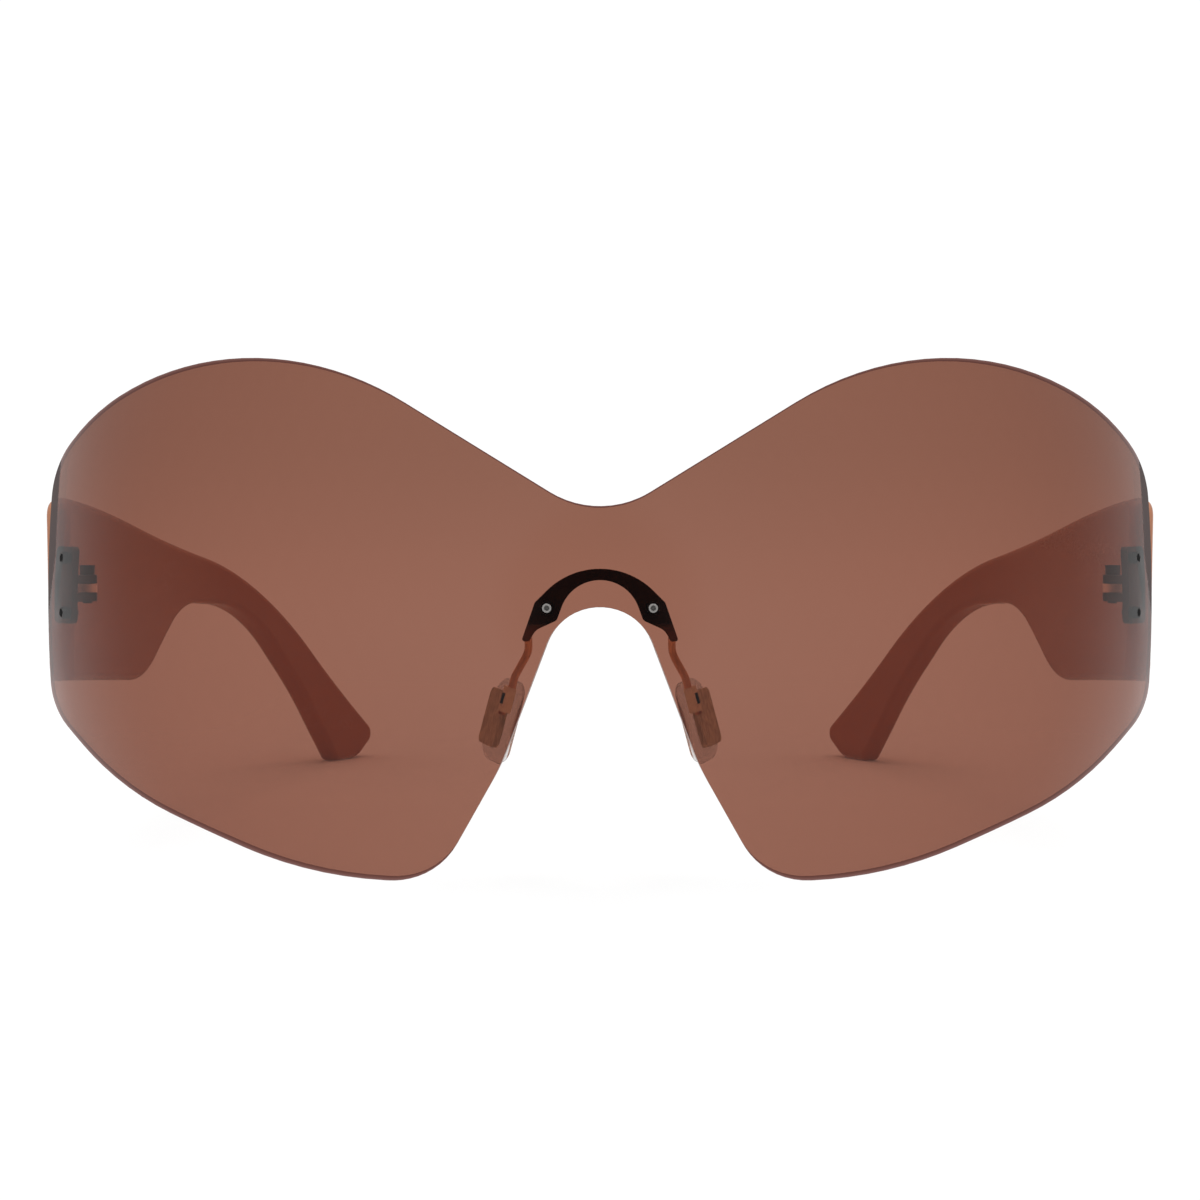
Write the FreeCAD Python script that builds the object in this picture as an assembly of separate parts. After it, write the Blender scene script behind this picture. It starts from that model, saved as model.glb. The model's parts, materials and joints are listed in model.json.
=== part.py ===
import FreeCAD, Part
import math
import os

from FreeCAD import Placement, Rotation, Vector

# Shield sunglasses, in millimetres: front towards -Y, up +Z, the table at z = 0, wearer's left at +X.
# Everything is drawn with the lens apex at y = 0 and centred front to back at the end.

# Lens: one spherical sheet that wraps this many degrees round to each side, cut to a front outline
# of straight runs and arcs
LENS_WIDTH = 150.4
LENS_WRAP = 59.81
LENS_THICKNESS = 2.0
LENS_CENTRE_Z = 32.6
BROW_NOTCH_Z = 46.3
BROW_NOTCH_RADIUS = 11.5
BROW_SLOPE = 31.6
LOBE_X = 43.16
LOBE_RADIUS = 42.9
BROW_END_X = 68.22
BROW_END_Z = 58.83
BROW_END_RADIUS = 31.0
SHOULDER_Z = 51.93
SHOULDER_RADIUS = 10.3
LOWER_CORNER_Z = 18.9
LOWER_CORNER_RADIUS = 7.6
CHEEK_X = 62.9
CHEEK_Z = 9.1
CHEEK_RADIUS = 45.0
FOOT_OUTER_X = 36.2
FOOT_OUTER_RADIUS = 58.0
FOOT_INNER_X = 20.3
FOOT_INNER_RADIUS = 10.0
NOSE_FLARE_Z = 14.7
NOSE_FLARE_RADIUS = 30.0
NOSE_TOP_Z = 34.25
NOSE_RADIUS = 6.8
NOSE_SLOPE = 69.2

# Rivets, and the sleeves that they sit in
RIVET_DIAMETER = 1.1
RIVET_HEAD_DIAMETER = 1.9
RIVET_HEAD_HEIGHT = 0.7
RIVET_DIMPLE_DIAMETER = 0.7
RIVET_DIMPLE_DEPTH = 0.25
BUSH_WALL = 0.2
FIT_GAP = 0.02
SEAT_GAP = 0.04

# Bridge: stamped arch on the inside of the lens, with two round pad arms
BRIDGE_THICKNESS = 0.9
BRIDGE_RISE = 4.5
BRIDGE_BAND = 1.35
BRIDGE_OUTER_RADIUS = 9.0
BRIDGE_OUTER_SLOPE = 45.0
BRIDGE_INNER_RADIUS = 4.85
BRIDGE_INNER_SLOPE = 70.0
BRIDGE_EAR_X = 7.75
BRIDGE_EAR_RADIUS = 0.5
BRIDGE_FOOT_DROP = 1.65
BRIDGE_FOOT_RADIUS = 0.7
BRIDGE_LEG_DROP = 4.15
BRIDGE_LEG_X = 8.9
BRIDGE_LEG_WIDTH = 0.95
BRIDGE_LEG_RADIUS = 0.3
BRIDGE_CROTCH_X = 7.65
BRIDGE_CROTCH_DROP = 2.8
BRIDGE_CROTCH_RADIUS = 1.8
BRIDGE_RIVET_X = 6.36
BRIDGE_RIVET_DROP = 0.12
ARM_DIAMETER = 0.95
ARM_BEND_RADIUS = 2.2
ARM_REACH = 3.6
ARM_LOOP_DEPTH = 5.6
ARM_LOOP_DROP = 2.1
ARM_RUN_IN = 1.4

# Nose pads, drawn upright and square, then leaned and splayed to lie along the nose
PAD_X = 12.45
PAD_DEPTH = 12.6
PAD_Z = 20.0
PAD_SPLAY = 28.0
PAD_LEAN = 15.0
PAD_HEIGHT = 10.4
PAD_WIDTH = 6.8
PAD_THICKNESS = 1.5
PAD_FRONT_CORNER = 1.4
PAD_REAR_CORNER = 2.8
PAD_EDGE_ROUND = 0.6
CORE_HEIGHT = 7.0
CORE_WIDTH = 4.4
CORE_THICKNESS = 0.8
CORE_REAR_MARGIN = 0.9
CORE_LIFT = 0.1
CORE_CORNER = 0.8
STUD_DIAMETER = 1.2
STUD_LENGTH = 1.0
STUD_SPACING = 3.6

# Pad pivot: a barrel on the core between the two cheeks of the pad box
PIVOT_STAND_OFF = 1.2
PIVOT_LEAD = 0.75
PIVOT_LIFT = 2.9
PIVOT_BARREL_DIAMETER = 1.1
PIVOT_BARREL_HEIGHT = 1.3
PIVOT_PIN_DIAMETER = 0.5
PIVOT_HEAD_DIAMETER = 0.9
PIVOT_HEAD_HEIGHT = 0.4
BOX_CHEEK = 0.85
BOX_BACK = 0.5
BOX_BACK_GAP = 0.12
AXIAL_GAP = 0.06
RUNNING_GAP = 0.03

# Temple hinge: curved plate riveted inside the lens, three knuckles and a screw
HINGE_Z = 35.8
HINGE_RIVET_INSET = 2.65
HINGE_RIVET_SPACING = 7.4
HINGE_PLATE_HEIGHT = 10.2
HINGE_PLATE_LEAD = 1.9
HINGE_PLATE_TAIL = 3.9
HINGE_PLATE_THICKNESS = 0.8
HINGE_PLATE_CORNER = 0.9
HINGE_AXIS_BACK = 5.65
HINGE_AXIS_INSET = 4.85
KNUCKLE_DIAMETER = 2.5
KNUCKLE_HEIGHT = 1.15
KNUCKLE_DROP = 0.65
KNUCKLE_WEB = 1.9
KNUCKLE_WEB_BACK = 1.1
HINGE_SCREW_DIAMETER = 1.2
HINGE_SCREW_HEAD_DIAMETER = 1.9
HINGE_SCREW_HEAD_HEIGHT = 1.3
HINGE_SCREW_END = 0.3
SCREW_SLOT_WIDTH = 0.3
SCREW_SLOT_DEPTH = 0.35

# Anchor: the tongue of the middle knuckle that is moulded into the temple
TONGUE_WIDTH = 1.7
TONGUE_BACK = 1.6
ANCHOR_THICKNESS = 1.3
ANCHOR_DEPTH = 1.3
ANCHOR_LENGTH = 11.0
ANCHOR_BARB = 1.2
ANCHOR_BARB_LENGTH = 2.4

# Temples: side outline measured back from the hinge axis and up from the table
TEMPLE_CLEARANCE = 2.05
TEMPLE_THICKNESS = 4.3
TEMPLE_TIP_THICKNESS = 3.2
TEMPLE_BEND_RADIUS = 235.0
TEMPLE_STRAIGHT = 8.0
TEMPLE_EDGE_ROUND = 1.1
TEMPLE_TOP_BACK = -1.0
TEMPLE_BOTTOM_BACK = 0.4
TEMPLE_TOP_Z = 47.5
TEMPLE_BOTTOM_Z = 22.45
TEMPLE_FRONT_RADIUS = 2.4
TEMPLE_CROWN_BACK = 22.3
TEMPLE_CROWN_Z = 46.05
TEMPLE_CROWN_RADIUS = 285.0
EAR_BEND_BACK = 87.9
EAR_BEND_Z = 34.5
EAR_BEND_RADIUS = 77.0
TIP_BACK = 123.4
TIP_Z = 4.3
TIP_RADIUS = 2.2
HEEL_LENGTH = 5.4
HEEL_RADIUS = 5.0
TOE_LENGTH = 12.1
TOE_RADIUS = 1.6
HOOK_BACK = 101.1
HOOK_Z = 13.4
HOOK_RADIUS = 66.0
ARM_UNDER_BACK = 83.4
ARM_UNDER_Z = 29.7
ARM_UNDER_RADIUS = 34.6
WAIST_BACK = 57.2
WAIST_Z = 31.2
WAIST_RADIUS = 20.7
BELLY_BACK = 39.5
BELLY_Z = 19.75
BELLY_RADIUS = 16.5

# Places that several pieces share
HALF_WIDTH = LENS_WIDTH / 2
LENS_RADIUS = HALF_WIDTH / math.sin(math.radians(LENS_WRAP))
LENS_INNER_RADIUS = LENS_RADIUS - LENS_THICKNESS
LENS_CENTRE = Vector(0, LENS_RADIUS, LENS_CENTRE_Z)
UP = Vector(0, 0, 1)
REACH = 4 * LENS_RADIUS
OVERCUT = 1.0
SHEET_TOLERANCE = 1e-4
TINY = 1e-6


def rounded_edges(points, radii, closed):
    """Straight runs through the points, each corner turned by a tangent arc that its runs have room for."""
    count = len(points)
    runs = []
    for i in range(count):
        runs.append((points[(i + 1) % count] - points[i]).Length)
    trims = []
    halves = []
    for i in range(count):
        inner = closed or 0 < i < count - 1
        back = points[i - 1] - points[i]
        ahead = points[(i + 1) % count] - points[i]
        halves.append(back.getAngle(ahead) / 2)
        trims.append(radii[i] / math.tan(halves[i]) if inner else 0.0)
    room = []
    for i in range(count):
        wanted = trims[i] + trims[(i + 1) % count]
        room.append(1.0 if wanted <= runs[i] else runs[i] / wanted)
    turns = []
    for i in range(count):
        trim = trims[i] * min(room[i - 1], room[i])
        back = (points[i - 1] - points[i]).normalize()
        ahead = (points[(i + 1) % count] - points[i]).normalize()
        sag = trim * (1 - math.sin(halves[i])) / math.cos(halves[i])
        middle = points[i] + (back + ahead).normalize() * sag if trim else points[i]
        turns.append((points[i] + back * trim, middle, points[i] + ahead * trim))
    edges = []
    for i in range(count):
        start, middle, end = turns[i]
        following = turns[(i + 1) % count][0]
        if (end - start).Length > TINY:
            edges.append(Part.Arc(start, middle, end).toShape())
        if (closed or i < count - 1) and (following - end).Length > TINY:
            edges.append(Part.makeLine(end, following))
    return edges


def rounded_face(corners, place):
    """Flat face inside a rounded outline; corners are (u, v, radius) and place maps (u, v) to space."""
    points = [place(u, v) for u, v, radius in corners]
    radii = [radius for u, v, radius in corners]
    return Part.Face(Part.Wire(rounded_edges(points, radii, True)))


def front_view(u, v):
    return Vector(u, 0, v)


def side_view(u, v):
    return Vector(0, u, v)


def both_halves(half):
    """Whole outline from its +X half, whose first and last corners lie on the centre line."""
    return half + [(-x, z, radius) for x, z, radius in reversed(half[1:-1])]


def corner_height(top, radius, slope):
    """Height of the sharp corner that a round top of this radius is cut from; slope is in degrees."""
    return top + radius * (1 / math.cos(math.radians(slope)) - 1)


def rise(run, slope):
    return run * math.tan(math.radians(slope))


def cylinder(diameter, bottom, top):
    return Part.makeCylinder(diameter / 2, top - bottom, Vector(0, 0, bottom), UP)


def box(low, high):
    return Part.makeBox(high[0] - low[0], high[1] - low[1], high[2] - low[2], Vector(*low))


def placed(shape, placement):
    copy = shape.copy()
    copy.Placement = placement.multiply(copy.Placement)
    return copy


def mirrored(shape):
    return shape.mirror(Vector(0, 0, 0), Vector(1, 0, 0))


def lens_direction(x, z):
    """Unit vector from the lens centre to the outer surface at this front-view place."""
    drop = z - LENS_CENTRE_Z
    return Vector(x, -math.sqrt(LENS_RADIUS ** 2 - x ** 2 - drop ** 2), drop).normalize()


def through_lens(x, z):
    """Placement whose +Z points out of the lens, with its origin on the inner surface."""
    out = lens_direction(x, z)
    return Placement(LENS_CENTRE + out * LENS_INNER_RADIUS, Rotation(UP, out))


def inner_layer(depth, thickness):
    """Spherical shell behind the lens, its outer side this deep below the inner surface."""
    outer = Part.makeSphere(LENS_INNER_RADIUS - depth, LENS_CENTRE)
    return outer.cut(Part.makeSphere(LENS_INNER_RADIUS - depth - thickness, LENS_CENTRE))


def bridge_rivet_seats():
    height = NOSE_TOP_Z - BRIDGE_RIVET_DROP
    return [through_lens(side * BRIDGE_RIVET_X, height) for side in (-1, 1)]


def hinge_rivet_seats():
    """Seats on the wearer's left."""
    x = HALF_WIDTH - HINGE_RIVET_INSET
    half = HINGE_RIVET_SPACING / 2
    return [through_lens(x, HINGE_Z + offset) for offset in (-half, half)]


def right_of(seats):
    flipped = []
    for seat in seats:
        out = seat.Rotation.multVec(UP)
        base = Vector(-seat.Base.x, seat.Base.y, seat.Base.z)
        flipped.append(Placement(base, Rotation(UP, Vector(-out.x, out.y, out.z))))
    return flipped


def lens_corners():
    notch = 2 * BROW_NOTCH_Z - corner_height(BROW_NOTCH_Z, BROW_NOTCH_RADIUS, BROW_SLOPE)
    nose = corner_height(NOSE_TOP_Z, NOSE_RADIUS, NOSE_SLOPE)
    flare_x = (nose - NOSE_FLARE_Z) / rise(1, NOSE_SLOPE)
    return both_halves([
        (0, notch, BROW_NOTCH_RADIUS),
        (LOBE_X, notch + rise(LOBE_X, BROW_SLOPE), LOBE_RADIUS),
        (BROW_END_X, BROW_END_Z, BROW_END_RADIUS),
        (HALF_WIDTH, SHOULDER_Z, SHOULDER_RADIUS),
        (HALF_WIDTH, LOWER_CORNER_Z, LOWER_CORNER_RADIUS),
        (CHEEK_X, CHEEK_Z, CHEEK_RADIUS),
        (FOOT_OUTER_X, 0, FOOT_OUTER_RADIUS),
        (FOOT_INNER_X, 0, FOOT_INNER_RADIUS),
        (flare_x, NOSE_FLARE_Z, NOSE_FLARE_RADIUS),
        (0, nose, NOSE_RADIUS),
    ])


def all_seats():
    left = hinge_rivet_seats()
    return bridge_rivet_seats() + left + right_of(left)


def shield_lens():
    """Spherical sheet cut by the front outline, thickened inwards so that its rim stands square to it."""
    outline = rounded_face(lens_corners(), front_view)
    ball = Part.makeSphere(LENS_RADIUS, LENS_CENTRE)
    cap = ball.common(outline.extrude(Vector(0, LENS_RADIUS, 0)))
    sheet = [face for face in cap.Faces if isinstance(face.Surface, Part.Sphere)][0]
    lens = sheet.makeOffsetShape(-LENS_THICKNESS, SHEET_TOLERANCE, fill=True)
    drill = cylinder(RIVET_DIAMETER + 2 * BUSH_WALL + 4 * FIT_GAP, -LENS_THICKNESS, 2 * LENS_THICKNESS)
    for seat in all_seats():
        lens = lens.cut(placed(drill, seat))
    return lens


def lens_bushes():
    outer = RIVET_DIAMETER + 2 * BUSH_WALL + 2 * FIT_GAP
    sleeve = cylinder(outer, 0, LENS_THICKNESS)
    sleeve = sleeve.cut(cylinder(RIVET_DIAMETER + 2 * FIT_GAP, -LENS_THICKNESS, 2 * LENS_THICKNESS))
    return Part.makeCompound([placed(sleeve, seat) for seat in all_seats()])


def rivet(plate_thickness, dimple):
    """Rivet with a domed head behind the plate and its plain end flush with the front of the lens."""
    seat = -SEAT_GAP - plate_thickness - SEAT_GAP
    shank = cylinder(RIVET_DIAMETER, seat - RIVET_HEAD_HEIGHT / 2, LENS_THICKNESS)
    half = RIVET_HEAD_DIAMETER / 2
    dome_radius = (half ** 2 + RIVET_HEAD_HEIGHT ** 2) / (2 * RIVET_HEAD_HEIGHT)
    dome = Part.makeSphere(dome_radius, Vector(0, 0, seat - RIVET_HEAD_HEIGHT + dome_radius))
    head = dome.common(cylinder(RIVET_HEAD_DIAMETER, seat - RIVET_HEAD_HEIGHT, seat))
    shape = head.fuse(shank).removeSplitter()
    if dimple:
        mouth = RIVET_DIMPLE_DIAMETER / 2
        base = Vector(0, 0, LENS_THICKNESS - RIVET_DIMPLE_DEPTH)
        shape = shape.cut(Part.makeCone(mouth / 2, mouth, RIVET_DIMPLE_DEPTH, base, UP))
    return shape


def bridge_corners():
    top = NOSE_TOP_Z + BRIDGE_RISE
    outer = corner_height(top, BRIDGE_OUTER_RADIUS, BRIDGE_OUTER_SLOPE)
    inner = corner_height(top - BRIDGE_BAND, BRIDGE_INNER_RADIUS, BRIDGE_INNER_SLOPE)
    foot_z = NOSE_TOP_Z - BRIDGE_FOOT_DROP
    leg_z = NOSE_TOP_Z - BRIDGE_LEG_DROP
    half_leg = BRIDGE_LEG_WIDTH / 2
    return both_halves([
        (0, outer, BRIDGE_OUTER_RADIUS),
        (BRIDGE_EAR_X, outer - rise(BRIDGE_EAR_X, BRIDGE_OUTER_SLOPE), BRIDGE_EAR_RADIUS),
        (BRIDGE_LEG_X + half_leg, leg_z, BRIDGE_LEG_RADIUS),
        (BRIDGE_LEG_X - half_leg, leg_z, BRIDGE_LEG_RADIUS),
        (BRIDGE_CROTCH_X, NOSE_TOP_Z - BRIDGE_CROTCH_DROP, BRIDGE_CROTCH_RADIUS),
        ((inner - foot_z) / rise(1, BRIDGE_INNER_SLOPE), foot_z, BRIDGE_FOOT_RADIUS),
        (0, inner, BRIDGE_INNER_RADIUS),
    ])


def pad_placement():
    """From the pad's own axes (x outwards, y to the rear, z up) to its place on the wearer's left."""
    turn = Rotation(Vector(0, 1, 0), -PAD_LEAN).multiply(Rotation(UP, -PAD_SPLAY))
    return Placement(Vector(PAD_X, PAD_DEPTH, PAD_Z), turn)


def core_front():
    return PAD_WIDTH / 2 - CORE_REAR_MARGIN - CORE_WIDTH


def pivot_y():
    return core_front() - PIVOT_LEAD


def pivot_stack():
    """Heights of the lower cheek, the barrel and the upper cheek of the pad pivot."""
    half = PIVOT_BARREL_HEIGHT / 2
    barrel = (PIVOT_LIFT - half, PIVOT_LIFT + half)
    lower = (barrel[0] - AXIAL_GAP - BOX_CHEEK, barrel[0] - AXIAL_GAP)
    upper = (barrel[1] + AXIAL_GAP, barrel[1] + AXIAL_GAP + BOX_CHEEK)
    return lower, barrel, upper


def box_back():
    """Front and rear faces of the strap that joins the two cheeks of the pad box."""
    rear = pivot_y() - PIVOT_BARREL_DIAMETER / 2 - BOX_BACK_GAP
    return rear - BOX_BACK, rear


def arm_path():
    """Round pad arm on the wearer's left, from the leg of the bridge back and down to the pad box."""
    leg_z = NOSE_TOP_Z - BRIDGE_LEG_DROP + BRIDGE_LEG_WIDTH / 2
    out = lens_direction(BRIDGE_LEG_X, leg_z)
    start = LENS_CENTRE + out * (LENS_INNER_RADIUS - SEAT_GAP - BRIDGE_THICKNESS / 2)
    pad = pad_placement()
    front, rear = box_back()
    top = pivot_stack()[2][1]
    end = pad.multVec(Vector(PIVOT_STAND_OFF, (front + rear) / 2, top))
    run_in = pad.multVec(Vector(PIVOT_STAND_OFF, (front + rear) / 2, top + ARM_RUN_IN))
    loop = Vector(start.x, start.y + ARM_LOOP_DEPTH, start.z - ARM_LOOP_DROP)
    return [start, start + Vector(0, ARM_REACH, 0), loop, run_in, end]


def bridge_plate():
    outline = rounded_face(bridge_corners(), front_view).extrude(Vector(0, LENS_RADIUS, 0))
    plate = outline.common(inner_layer(SEAT_GAP, BRIDGE_THICKNESS))
    points = arm_path()
    path = Part.Wire(rounded_edges(points, [ARM_BEND_RADIUS] * len(points), False))
    section = Part.Wire(Part.makeCircle(ARM_DIAMETER / 2, points[0], points[1] - points[0]))
    arm = path.makePipeShell([section], True, False)
    plate = plate.fuse([arm, mirrored(arm)]).removeSplitter()
    hole = cylinder(RIVET_DIAMETER + 2 * FIT_GAP, -LENS_THICKNESS - BRIDGE_THICKNESS, LENS_THICKNESS)
    for seat in bridge_rivet_seats():
        plate = plate.cut(placed(hole, seat))
    return plate


def core_studs(growth):
    """Two studs that reach from inside the core plate into the pad."""
    y = core_front() + CORE_WIDTH / 2
    root = SEAT_GAP + CORE_THICKNESS / 2
    studs = []
    for side in (-1, 1):
        base = Vector(root, y, CORE_LIFT + side * STUD_SPACING / 2)
        length = root + STUD_LENGTH + growth
        studs.append(Part.makeCylinder(STUD_DIAMETER / 2 + growth, length, base, Vector(-1, 0, 0)))
    return studs


def nose_pad():
    """Soft slab, longer along its front edge, with rounded rims and two blind holes for the core's studs."""
    half_y = PAD_WIDTH / 2
    half_z = PAD_HEIGHT / 2
    outline = rounded_face([
        (-half_y, -half_z, PAD_FRONT_CORNER),
        (half_y, -half_z, PAD_REAR_CORNER),
        (half_y, half_z, PAD_REAR_CORNER),
        (-half_y, half_z, PAD_FRONT_CORNER),
    ], side_view)
    slab = outline.extrude(Vector(-PAD_THICKNESS, 0, 0))
    rims = [edge for edge in slab.Edges if edge.BoundBox.XLength < TINY]
    slab = slab.makeFillet(PAD_EDGE_ROUND, rims)
    return slab.cut(core_studs(FIT_GAP))


def pad_core():
    """Insert plate with its studs, and the barrel in front of it that turns on the pad screw."""
    low_y = core_front()
    half = CORE_HEIGHT / 2
    plate = rounded_face([
        (low_y, CORE_LIFT - half, CORE_CORNER),
        (low_y + CORE_WIDTH, CORE_LIFT - half, CORE_CORNER),
        (low_y + CORE_WIDTH, CORE_LIFT + half, CORE_CORNER),
        (low_y, CORE_LIFT + half, CORE_CORNER),
    ], side_view).extrude(Vector(CORE_THICKNESS, 0, 0))
    plate.translate(Vector(SEAT_GAP, 0, 0))
    bottom, top = pivot_stack()[1]
    barrel = cylinder(PIVOT_BARREL_DIAMETER, bottom, top)
    barrel.translate(Vector(PIVOT_STAND_OFF, pivot_y(), 0))
    web = box((SEAT_GAP + CORE_THICKNESS / 4, pivot_y(), bottom),
              (SEAT_GAP + CORE_THICKNESS, low_y + CORE_CORNER, top))
    shape = plate.fuse(core_studs(0) + [barrel, web]).removeSplitter()
    bore = cylinder(PIVOT_PIN_DIAMETER + 2 * RUNNING_GAP, bottom - OVERCUT, top + OVERCUT)
    bore.translate(Vector(PIVOT_STAND_OFF, pivot_y(), 0))
    return shape.cut(bore)


def pad_box():
    """Two cheeks on a strap, brazed to the end of the pad arm."""
    lower, barrel, upper = pivot_stack()
    front, rear = box_back()
    inner = PIVOT_STAND_OFF - PIVOT_BARREL_DIAMETER / 2
    outer = PIVOT_STAND_OFF + PIVOT_BARREL_DIAMETER / 2
    strap = box((inner, front, lower[0]), (outer, rear, upper[1]))
    pieces = []
    for bottom, top in (lower, upper):
        cheek = cylinder(PIVOT_BARREL_DIAMETER, bottom, top)
        cheek.translate(Vector(PIVOT_STAND_OFF, pivot_y(), 0))
        pieces.append(cheek)
        pieces.append(box((inner, front, bottom), (outer, pivot_y(), top)))
    shape = strap.fuse(pieces).removeSplitter()
    bore = cylinder(PIVOT_PIN_DIAMETER + 2 * FIT_GAP, lower[0] - OVERCUT, upper[1] + OVERCUT)
    bore.translate(Vector(PIVOT_STAND_OFF, pivot_y(), 0))
    return shape.cut(bore)


def pad_screw():
    lower, barrel, upper = pivot_stack()
    seat = lower[0] - FIT_GAP
    shape = cylinder(PIVOT_PIN_DIAMETER, seat, upper[1])
    shape = shape.fuse(cylinder(PIVOT_HEAD_DIAMETER, seat - PIVOT_HEAD_HEIGHT, seat)).removeSplitter()
    shape.translate(Vector(PIVOT_STAND_OFF, pivot_y(), 0))
    return shape


def hinge_frame():
    """Placement inside the lens on the wearer's left: x along the lens to the rear, y inwards, z up."""
    out = lens_direction(HALF_WIDTH - HINGE_RIVET_INSET, HINGE_Z)
    flat = Vector(out.x, out.y, 0).normalize()
    angle = math.degrees(math.atan2(flat.x, -flat.y))
    return Placement(LENS_CENTRE + out * LENS_INNER_RADIUS, Rotation(UP, angle))


def hinge_axis():
    """Point on the temple's turning axis, at the middle of the hinge plate's height."""
    return hinge_frame().multVec(Vector(HINGE_AXIS_BACK, HINGE_AXIS_INSET, 0))


def knuckle_stack():
    """Heights of the lower, middle and upper knuckles."""
    step = KNUCKLE_HEIGHT + AXIAL_GAP
    centres = [HINGE_Z - KNUCKLE_DROP + i * step for i in (-1, 0, 1)]
    return [(centre - KNUCKLE_HEIGHT / 2, centre + KNUCKLE_HEIGHT / 2) for centre in centres]


def hinge_plate():
    """Plate that follows the inside of the lens, with two webs that carry the outer knuckles."""
    frame = hinge_frame()
    half = HINGE_PLATE_HEIGHT / 2
    outline = rounded_face([
        (-HINGE_PLATE_LEAD, -half, HINGE_PLATE_CORNER),
        (HINGE_PLATE_TAIL, -half, HINGE_PLATE_CORNER),
        (HINGE_PLATE_TAIL, half, HINGE_PLATE_CORNER),
        (-HINGE_PLATE_LEAD, half, HINGE_PLATE_CORNER),
    ], front_view)
    block = outline.extrude(Vector(0, 2 * HINGE_AXIS_INSET, 0))
    block.translate(Vector(0, -HINGE_AXIS_INSET, 0))
    shape = placed(block, frame).common(inner_layer(SEAT_GAP, HINGE_PLATE_THICKNESS))
    radius = KNUCKLE_DIAMETER / 2
    lift = SEAT_GAP + HINGE_PLATE_THICKNESS / 2
    root_a = Vector(KNUCKLE_WEB_BACK, lift, 0)
    root_b = Vector(KNUCKLE_WEB_BACK + KNUCKLE_WEB, lift, 0)
    axis = Vector(HINGE_AXIS_BACK, HINGE_AXIS_INSET, 0)
    lean = (axis - (root_a + root_b) * 0.5).normalize()
    side = Vector(lean.y, -lean.x, 0)
    web = Part.Face(Part.makePolygon([root_a, root_b, axis + side * radius, axis - side * radius, root_a]))
    pieces = []
    for bottom, top in (knuckle_stack()[0], knuckle_stack()[2]):
        height = top - bottom
        base = bottom - frame.Base.z
        ear = web.extrude(Vector(0, 0, height))
        ear = ear.fuse(Part.makeCylinder(radius, height, axis, UP))
        ear.translate(Vector(0, 0, base))
        pieces.append(placed(ear, frame))
    shape = shape.fuse(pieces).removeSplitter()
    bore = cylinder(HINGE_SCREW_DIAMETER + 2 * FIT_GAP, 0, 2 * HINGE_Z)
    centre = hinge_axis()
    bore.translate(Vector(centre.x, centre.y, 0))
    shape = shape.cut(bore)
    hole = cylinder(RIVET_DIAMETER + 2 * FIT_GAP, -LENS_THICKNESS - HINGE_PLATE_THICKNESS, LENS_THICKNESS)
    for seat in hinge_rivet_seats():
        shape = shape.cut(placed(hole, seat))
    return shape


def hinge_screw():
    stack = knuckle_stack()
    seat = stack[2][1] + FIT_GAP
    top = seat + HINGE_SCREW_HEAD_HEIGHT
    shape = cylinder(HINGE_SCREW_DIAMETER, stack[0][0] - HINGE_SCREW_END, seat)
    shape = shape.fuse(cylinder(HINGE_SCREW_HEAD_DIAMETER, seat, top)).removeSplitter()
    half_slot = SCREW_SLOT_WIDTH / 2
    shape = shape.cut(box((-HINGE_SCREW_HEAD_DIAMETER, -half_slot, top - SCREW_SLOT_DEPTH),
                          (HINGE_SCREW_HEAD_DIAMETER, half_slot, top + OVERCUT)))
    centre = hinge_axis()
    shape.translate(Vector(centre.x, centre.y, 0))
    return shape


def anchor(growth):
    """Tongue and barbed bar that hold the middle knuckle in the temple, about the hinge axis."""
    bottom, top = knuckle_stack()[1]
    low = bottom - growth
    high = top + growth
    front = TONGUE_BACK - TONGUE_WIDTH / 2 - growth
    rear = TONGUE_BACK + TONGUE_WIDTH / 2 + growth
    inner = TEMPLE_CLEARANCE + ANCHOR_DEPTH - growth
    outer = TEMPLE_CLEARANCE + ANCHOR_DEPTH + ANCHOR_THICKNESS + growth
    end = ANCHOR_LENGTH + growth
    barb = ANCHOR_BARB_LENGTH + 2 * growth
    tongue = box((0, front, low), (outer, rear, high))
    bar = box((inner, front, low), (outer, end, high))
    head = box((inner, end - barb, low - ANCHOR_BARB), (outer, end, high + ANCHOR_BARB))
    shape = tongue.fuse([bar, head]).removeSplitter()
    centre = hinge_axis()
    shape.translate(Vector(centre.x, centre.y, 0))
    return shape


def temple_hinge():
    bottom, top = knuckle_stack()[1]
    centre = Vector(hinge_axis().x, hinge_axis().y, 0)
    knuckle = cylinder(KNUCKLE_DIAMETER, bottom, top)
    knuckle.translate(centre)
    bore = cylinder(HINGE_SCREW_DIAMETER + 2 * RUNNING_GAP, bottom - OVERCUT, top + OVERCUT)
    bore.translate(centre)
    return anchor(0).fuse(knuckle).removeSplitter().cut(bore)


def temple_side():
    return rounded_face([
        (TEMPLE_TOP_BACK, TEMPLE_TOP_Z, TEMPLE_FRONT_RADIUS),
        (TEMPLE_CROWN_BACK, TEMPLE_CROWN_Z, TEMPLE_CROWN_RADIUS),
        (EAR_BEND_BACK, EAR_BEND_Z, EAR_BEND_RADIUS),
        (TIP_BACK, TIP_Z, TIP_RADIUS),
        (TIP_BACK - HEEL_LENGTH, 0, HEEL_RADIUS),
        (TIP_BACK - TOE_LENGTH, 0, TOE_RADIUS),
        (HOOK_BACK, HOOK_Z, HOOK_RADIUS),
        (ARM_UNDER_BACK, ARM_UNDER_Z, ARM_UNDER_RADIUS),
        (WAIST_BACK, WAIST_Z, WAIST_RADIUS),
        (BELLY_BACK, BELLY_Z, BELLY_RADIUS),
        (TEMPLE_BOTTOM_BACK, TEMPLE_BOTTOM_Z, TEMPLE_FRONT_RADIUS),
    ], side_view)


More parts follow.
